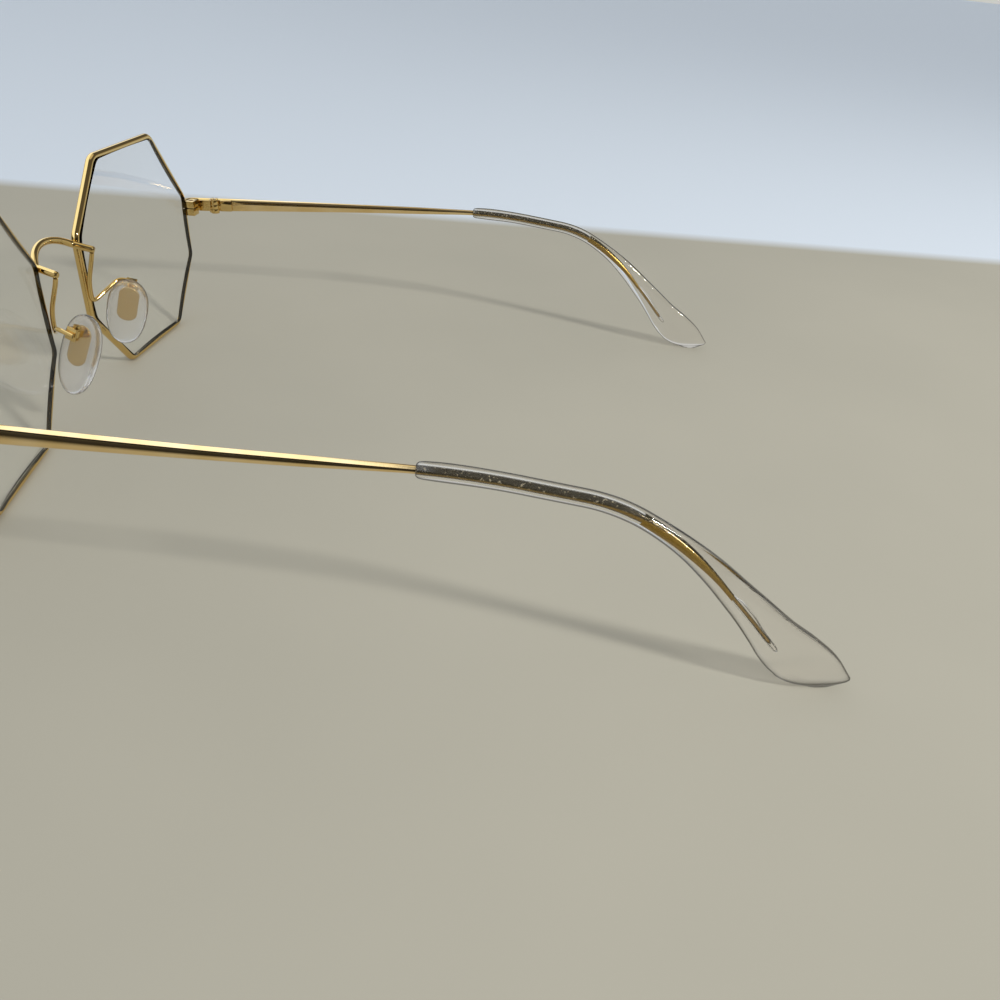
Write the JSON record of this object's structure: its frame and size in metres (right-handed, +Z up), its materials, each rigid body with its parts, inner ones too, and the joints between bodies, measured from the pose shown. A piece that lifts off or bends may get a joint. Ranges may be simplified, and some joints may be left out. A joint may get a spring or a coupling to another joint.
{
  "type": "octagonal glasses",
  "caption": "Octagonal wire-rim glasses with clear domed lenses, an arched bridge, nose pads on wire arms, and folding wire temples with clear paddle-shaped tips.",
  "frame": {"origin": "middle of the bounding box on the surface that the open glasses stand on", "axes": "+X to the wearer's left, +Y back along the temples, +Z up from the table; the fronts of the lenses face -Y"},
  "size_m": [0.1452, 0.1566, 0.0489],
  "materials": {
    "gold_metal": "polished gold-coloured wire",
    "lens": "clear, both faces polished",
    "tip": "clear, polished",
    "pad": "clear, soft gloss"
  },
  "bodies": {
    "front": {"rim_left": "gold_metal", "rim_right": "gold_metal", "lens_left": "lens", "lens_right": "lens", "bridge": "gold_metal", "closing_block_upper_left": "gold_metal", "closing_block_upper_right": "gold_metal", "closing_block_lower_left": "gold_metal", "closing_block_lower_right": "gold_metal", "rim_screw_left": "gold_metal", "rim_screw_right": "gold_metal", "endpiece_left": "gold_metal", "endpiece_right": "gold_metal", "front_hinge_left": "gold_metal", "front_hinge_right": "gold_metal", "hinge_screw_left": "gold_metal", "hinge_screw_right": "gold_metal", "pad_arm_left": "gold_metal", "pad_arm_right": "gold_metal", "pad_box_left": "gold_metal", "pad_box_right": "gold_metal", "pad_screw_left": "gold_metal", "pad_screw_right": "gold_metal"},
    "temple_left": {"temple_left": "gold_metal", "temple_hinge_left": "gold_metal", "temple_tip_left": "tip"},
    "pad_left": {"nose_pad_left": "pad", "pad_insert_left": "gold_metal"},
    "temple_right": {"temple_right": "gold_metal", "temple_hinge_right": "gold_metal", "temple_tip_right": "tip"},
    "pad_right": {"nose_pad_right": "pad", "pad_insert_right": "gold_metal"}
  },
  "joints": [
    {"name": "temple_left_fold", "type": "hinge", "parent": "front", "child": "temple_left", "pos_m": [0.06363, -0.06202, 0.0284], "axis": [0, -0.0543, 0.9985], "range_deg": [0, 93]},
    {"name": "temple_right_fold", "type": "hinge", "parent": "front", "child": "temple_right", "pos_m": [-0.06363, -0.06202, 0.0284], "axis": [0, 0.0543, -0.9985], "range_deg": [0, 86]},
    {"name": "nose_pad_left_rock", "type": "hinge", "parent": "front", "child": "pad_left", "pos_m": [0.01426, -0.0664, 0.0224], "axis": [-0.1736, 0.2861, 0.9423], "range_deg": [-10, 6]},
    {"name": "nose_pad_right_rock", "type": "hinge", "parent": "front", "child": "pad_right", "pos_m": [-0.01426, -0.0664, 0.0224], "axis": [-0.1736, -0.2861, -0.9423], "range_deg": [-10, 6]}
  ]
}
